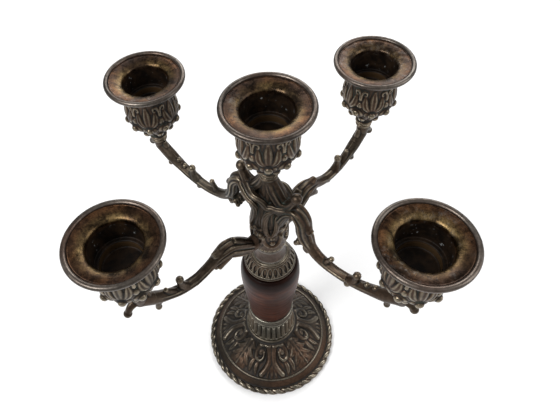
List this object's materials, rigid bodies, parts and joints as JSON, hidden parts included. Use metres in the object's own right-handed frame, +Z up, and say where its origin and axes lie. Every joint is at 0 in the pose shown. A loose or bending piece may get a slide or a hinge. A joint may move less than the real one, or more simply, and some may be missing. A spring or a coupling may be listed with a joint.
{
  "type": "candelabrum",
  "caption": "Table candelabrum: dished foot with a rope edge, turned wooden column and crossed cast arms with leaf-chased candle cups around a centre cup.",
  "frame": {"origin": "centre of the felt's underside, on the stem axis", "axes": "+Z up along the stem, -Y towards the front, where two of the four arms reach forwards left and right"},
  "size_m": [0.1648, 0.1496, 0.2425],
  "materials": {
    "tarnished_plate": "tarnished silver plate over brass, satin, dark in the recesses",
    "burnished_liner": "worn plate with copper-brown and gold tarnish, satin",
    "mahogany": "dark red-brown, semi-gloss varnish",
    "felt": "dark green felt",
    "plain_steel": "plain"
  },
  "bodies": {
    "stand": {"felt_disc": "felt", "foot": "tarnished_plate", "spreader_washer": "plain_steel", "rod_nut": "plain_steel", "tie_rod": "plain_steel", "foot_collar": "tarnished_plate", "lower_ferrule": "tarnished_plate", "wood_column": "mahogany", "upper_collar": "tarnished_plate", "neck_sleeve": "tarnished_plate", "bead_ring": "tarnished_plate"},
    "lower_branch": {"lower_branch": "tarnished_plate"},
    "upper_branch": {"upper_branch": "tarnished_plate"},
    "cup_rear_right": {"cup_rear_right": "tarnished_plate"},
    "stud_rear_right": {"stud_rear_right": "plain_steel"},
    "liner_rear_right": {"liner_rear_right": "burnished_liner"},
    "cup_front_left": {"cup_front_left": "tarnished_plate"},
    "stud_front_left": {"stud_front_left": "plain_steel"},
    "liner_front_left": {"liner_front_left": "burnished_liner"},
    "cup_rear_left": {"cup_rear_left": "tarnished_plate"},
    "stud_rear_left": {"stud_rear_left": "plain_steel"},
    "liner_rear_left": {"liner_rear_left": "burnished_liner"},
    "cup_front_right": {"cup_front_right": "tarnished_plate"},
    "stud_front_right": {"stud_front_right": "plain_steel"},
    "liner_front_right": {"liner_front_right": "burnished_liner"},
    "cup_center": {"cup_center": "tarnished_plate"},
    "stud_center": {"stud_center": "plain_steel"},
    "liner_center": {"liner_center": "burnished_liner"}
  },
  "joints": [
    {"name": "lower_branch_swivel", "type": "hinge", "parent": "stand", "child": "lower_branch", "pos_m": [0, 0, 0.1485], "axis": [0, 0, 1], "continuous": true},
    {"name": "upper_branch_swivel", "type": "hinge", "parent": "lower_branch", "child": "upper_branch", "pos_m": [0, 0, 0.161], "axis": [0, 0, 1], "range_deg": [-60, 40]},
    {"name": "stud_rear_right_lift", "type": "slide", "parent": "lower_branch", "child": "stud_rear_right", "axis": [0, 0, 1], "range_m": [0, 0.0048]},
    {"name": "cup_rear_right_turn", "type": "hinge", "parent": "stud_rear_right", "child": "cup_rear_right", "pos_m": [0.05527, 0.05644, 0.174], "axis": [0, 0, 1], "range_deg": [0, 2160.5]},
    {"name": "liner_rear_right_lift", "type": "slide", "parent": "cup_rear_right", "child": "liner_rear_right", "axis": [0, 0, 1], "range_m": [0, 0.03]},
    {"name": "stud_front_left_lift", "type": "slide", "parent": "lower_branch", "child": "stud_front_left", "axis": [0, 0, 1], "range_m": [0, 0.0048]},
    {"name": "cup_front_left_turn", "type": "hinge", "parent": "stud_front_left", "child": "cup_front_left", "pos_m": [-0.06157, -0.0495, 0.174], "axis": [0, 0, 1], "range_deg": [0, 2160.5]},
    {"name": "liner_front_left_lift", "type": "slide", "parent": "cup_front_left", "child": "liner_front_left", "axis": [0, 0, 1], "range_m": [0, 0.03]},
    {"name": "stud_rear_left_lift", "type": "slide", "parent": "upper_branch", "child": "stud_rear_left", "axis": [0, 0, 1], "range_m": [0, 0.0048]},
    {"name": "cup_rear_left_turn", "type": "hinge", "parent": "stud_rear_left", "child": "cup_rear_left", "pos_m": [-0.06259, 0.0482, 0.174], "axis": [0, 0, 1], "range_deg": [0, 2160.5]},
    {"name": "liner_rear_left_lift", "type": "slide", "parent": "cup_rear_left", "child": "liner_rear_left", "axis": [0, 0, 1], "range_m": [0, 0.03]},
    {"name": "stud_front_right_lift", "type": "slide", "parent": "upper_branch", "child": "stud_front_right", "axis": [0, 0, 1], "range_m": [0, 0.0048]},
    {"name": "cup_front_right_turn", "type": "hinge", "parent": "stud_front_right", "child": "cup_front_right", "pos_m": [0.06016, -0.0512, 0.174], "axis": [0, 0, 1], "range_deg": [0, 2160.5]},
    {"name": "liner_front_right_lift", "type": "slide", "parent": "cup_front_right", "child": "liner_front_right", "axis": [0, 0, 1], "range_m": [0, 0.03]},
    {"name": "stud_center_lift", "type": "slide", "parent": "upper_branch", "child": "stud_center", "axis": [0, 0, 1], "range_m": [0, 0.0048]},
    {"name": "cup_center_turn", "type": "hinge", "parent": "stud_center", "child": "cup_center", "pos_m": [0, 0, 0.1985], "axis": [0, 0, 1], "range_deg": [0, 2160.5]},
    {"name": "liner_center_lift", "type": "slide", "parent": "cup_center", "child": "liner_center", "axis": [0, 0, 1], "range_m": [0, 0.03]}
  ],
  "couplings": [
    {"joint": "cup_rear_right_turn", "follows": "stud_rear_right_lift", "rad_per_m": 7854},
    {"joint": "cup_front_left_turn", "follows": "stud_front_left_lift", "rad_per_m": 7854},
    {"joint": "cup_rear_left_turn", "follows": "stud_rear_left_lift", "rad_per_m": 7854},
    {"joint": "cup_front_right_turn", "follows": "stud_front_right_lift", "rad_per_m": 7854},
    {"joint": "cup_center_turn", "follows": "stud_center_lift", "rad_per_m": 7854}
  ]
}
